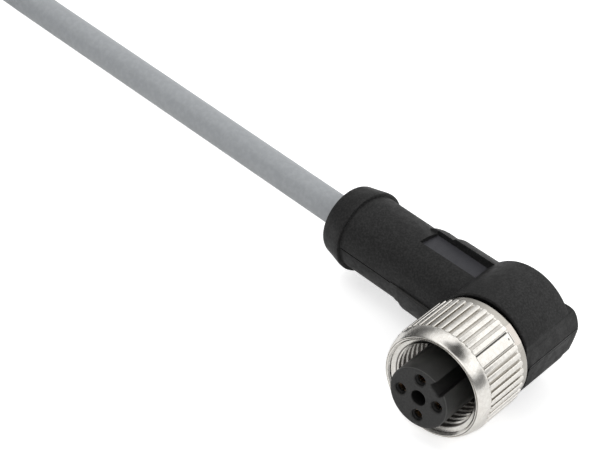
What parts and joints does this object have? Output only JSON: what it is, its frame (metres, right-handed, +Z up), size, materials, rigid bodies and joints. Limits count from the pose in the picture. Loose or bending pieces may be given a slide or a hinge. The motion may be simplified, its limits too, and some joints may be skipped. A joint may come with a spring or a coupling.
{
  "type": "m12 connector",
  "caption": "Right-angle circular connector with a free-turning knurled coupling nut, socket contacts in a keyed insert, a moulded grip body and a cable that ends in bare leads.",
  "frame": {"origin": "centre of the contact insert's front face, on the mating axis", "axes": "-Y is the mating direction, in which the connector is pushed; the cable leaves towards -X and leans 10 degrees towards +Y; +Z is up, and the parting plane of the moulding is z = 0"},
  "size_m": [0.1999, 0.055, 0.0182],
  "materials": {
    "nut_nickel": "nickel plating, satin bright",
    "insert_black": "glass-filled plastic, matt",
    "seal_rubber": "smooth",
    "inner_natural": "as moulded",
    "grip_black": "finely textured moulding",
    "contact_gold": "gold plating",
    "wire_brown": "smooth",
    "wire_white": "smooth",
    "wire_blue": "smooth",
    "wire_black": "smooth",
    "jacket_grey": "smooth, slightly satin",
    "tie_black": "smooth, slightly satin",
    "tinned_copper": "tinned strands"
  },
  "bodies": {
    "housing": {"contact_insert": "insert_black", "seal_ring": "seal_rubber", "inner_mould": "inner_natural", "grip_body": "grip_black", "contact_1": "contact_gold", "contact_2": "contact_gold", "contact_3": "contact_gold", "contact_4": "contact_gold", "core_brown": "wire_brown", "core_white": "wire_white", "core_blue": "wire_blue", "core_black": "wire_black", "cable": "jacket_grey", "cable_hank": "jacket_grey", "cable_tail": "jacket_grey", "cable_ties": "tie_black", "lead_brown": "wire_brown", "lead_white": "wire_white", "lead_blue": "wire_blue", "lead_black": "wire_black", "tip_brown": "tinned_copper", "tip_white": "tinned_copper", "tip_blue": "tinned_copper", "tip_black": "tinned_copper"},
    "nut": {"coupling_nut": "nut_nickel"}
  },
  "joints": [
    {"name": "nut_spin", "type": "hinge", "parent": "housing", "child": "nut", "pos_m": [0, 0.0075, 0], "axis": [0, -1, 0], "continuous": true}
  ]
}
